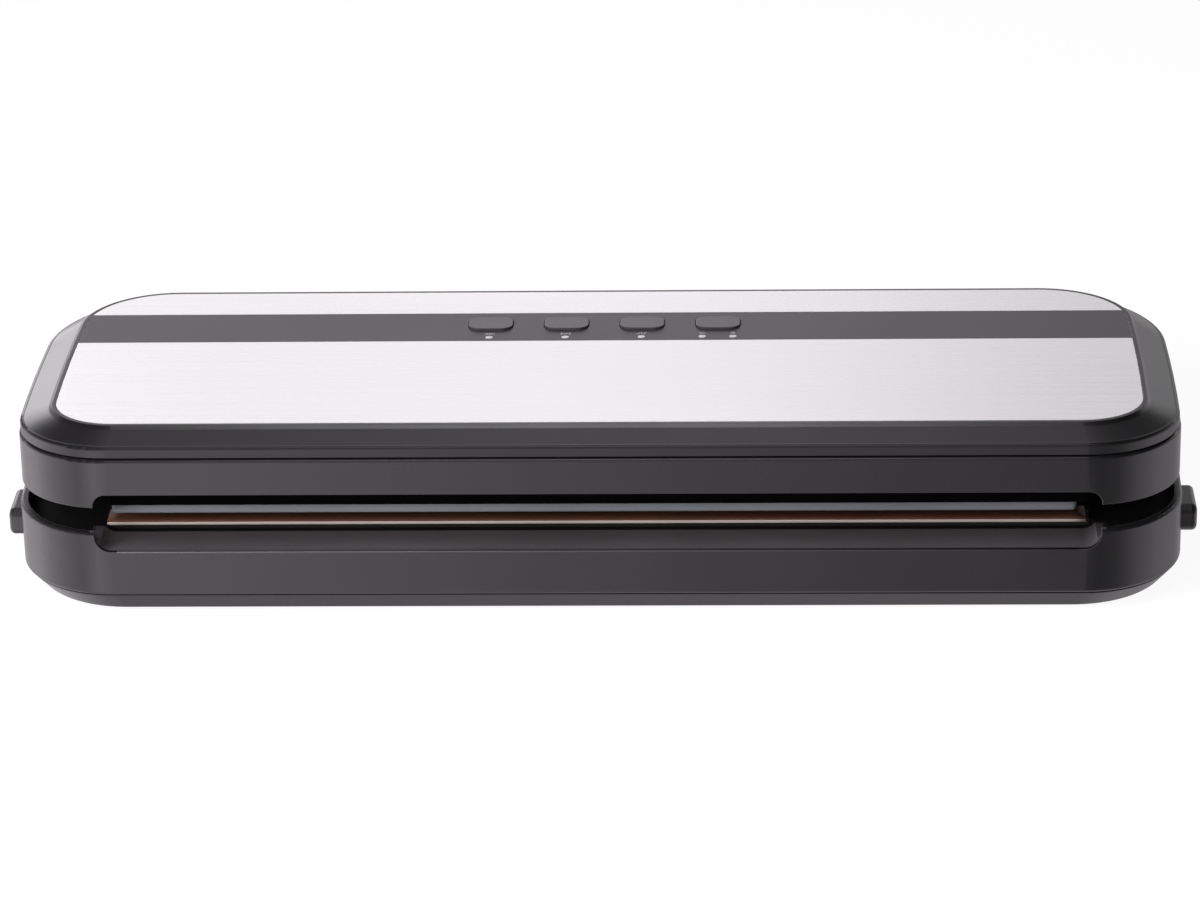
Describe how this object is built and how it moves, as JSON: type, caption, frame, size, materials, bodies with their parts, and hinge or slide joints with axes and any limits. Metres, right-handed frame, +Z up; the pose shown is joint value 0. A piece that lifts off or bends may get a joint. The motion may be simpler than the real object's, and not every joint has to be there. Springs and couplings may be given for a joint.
{
  "type": "vacuum sealer",
  "caption": "Low countertop vacuum sealer: hinged lid with brushed steel top and key strip, ajar over a base with heat-seal bar, vacuum trough and pump.",
  "frame": {"origin": "on the table, under the middle of the body", "axes": "+X to the right along the body, +Y to the hinged rear edge, +Z up; the front is -Y"},
  "size_m": [0.38, 0.1451, 0.0608],
  "materials": {
    "base_shell": "satin black moulded plastic",
    "lid_shell": "satin black moulded plastic",
    "lid_cover": "satin black moulded plastic",
    "steel": "brushed along the length",
    "panel": "dark grey satin panel",
    "key": "dark grey satin key",
    "lens": "milky light pipe",
    "lamp": "lamp resin",
    "board": "coated circuit board",
    "switch": "moulded switch body",
    "plunger": "moulded plunger",
    "foam": "closed-cell foam",
    "pad": "grey silicone strip",
    "foot": "moulded rubber",
    "bar": "heat-resistant strip",
    "band": "resistance band",
    "tape": "woven coated tape",
    "screw": "zinc-plated steel",
    "hook": "pressed steel",
    "pin": "ground steel",
    "spring": "spring wire",
    "release": "satin black moulded plastic",
    "hose": "translucent silicone hose",
    "nozzle": "moulded nozzle",
    "motor": "drawn steel can",
    "pump": "moulded pump body",
    "membrane": "rubber",
    "valve": "moulded valve body",
    "coil": "wound choke",
    "capacitor": "sleeved can",
    "heatsink": "extruded",
    "gland": "moulded grommet"
  },
  "bodies": {
    "base": {"base_housing": "base_shell", "chamber_deck": "base_shell", "trough_basin": "base_shell", "bottom_cover": "base_shell", "rubber_feet": "foot", "base_screws": "screw", "seal_bar": "bar", "heating_band": "band", "release_tape": "tape", "lower_gasket": "foam", "suction_nozzles": "nozzle", "suction_hoses": "hose", "pump_motor": "motor", "pump_housing": "pump", "pump_head": "pump", "pump_diaphragm": "membrane", "pump_yoke": "pump", "motor_saddles": "foot", "vent_valve": "valve", "power_board": "board", "choke_coil": "coil", "capacitors": "capacitor", "heat_sink": "heatsink", "cord_gland": "gland", "hinge_pins": "pin", "lid_switches": "switch", "release_spring_right": "spring", "release_spring_left": "spring"},
    "lid": {"lid_frame": "lid_shell", "lid_top_cover": "lid_cover", "steel_plate_front": "steel", "steel_plate_rear": "steel", "control_panel": "panel", "indicator_lenses": "lens", "indicator_lamps": "lamp", "control_board": "board", "board_screws": "screw", "key_switches": "switch", "seal_pad": "pad", "upper_gasket": "foam", "lid_hook_right": "hook", "lid_hook_left": "hook", "lid_screws": "screw"},
    "release_right": {"release_button_right": "release"},
    "release_left": {"release_button_left": "release"},
    "pump_rotor": {"pump_shaft": "pin"},
    "vacuum_seal_key": {"vacuum_seal_button": "key", "vacuum_seal_plunger": "plunger"},
    "seal_key": {"seal_button": "key", "seal_plunger": "plunger"},
    "pulse_key": {"pulse_button": "key", "pulse_plunger": "plunger"},
    "food_mode_key": {"food_mode_button": "key", "food_mode_plunger": "plunger"}
  },
  "joints": [
    {"name": "lid_hinge", "type": "hinge", "parent": "base", "child": "lid", "pos_m": [0, 0.0695, 0.0315], "axis": [-1, 0, 0], "range_deg": [-2.2, 75], "stiffness_Nm_per_rad": 0.5, "springref_deg": 51.57},
    {"name": "release_right_press", "type": "slide", "parent": "base", "child": "release_right", "axis": [-1, 0, 0], "range_m": [0, 0.0025], "stiffness_N_per_m": 600, "deforming": ["release_spring_right"]},
    {"name": "release_left_press", "type": "slide", "parent": "base", "child": "release_left", "axis": [1, 0, 0], "range_m": [0, 0.0025], "stiffness_N_per_m": 600, "deforming": ["release_spring_left"]},
    {"name": "pump_turn", "type": "hinge", "parent": "base", "child": "pump_rotor", "pos_m": [-0.06, 0.036, 0.0162], "axis": [1, 0, 0], "continuous": true},
    {"name": "vacuum_seal_press", "type": "slide", "parent": "lid", "child": "vacuum_seal_key", "axis": [0, -0.0384, -0.9993], "range_m": [0, 0.0008], "stiffness_N_per_m": 800},
    {"name": "seal_press", "type": "slide", "parent": "lid", "child": "seal_key", "axis": [0, -0.0384, -0.9993], "range_m": [0, 0.0008], "stiffness_N_per_m": 800},
    {"name": "pulse_press", "type": "slide", "parent": "lid", "child": "pulse_key", "axis": [0, -0.0384, -0.9993], "range_m": [0, 0.0008], "stiffness_N_per_m": 800},
    {"name": "food_mode_press", "type": "slide", "parent": "lid", "child": "food_mode_key", "axis": [0, -0.0384, -0.9993], "range_m": [0, 0.0008], "stiffness_N_per_m": 800}
  ]
}
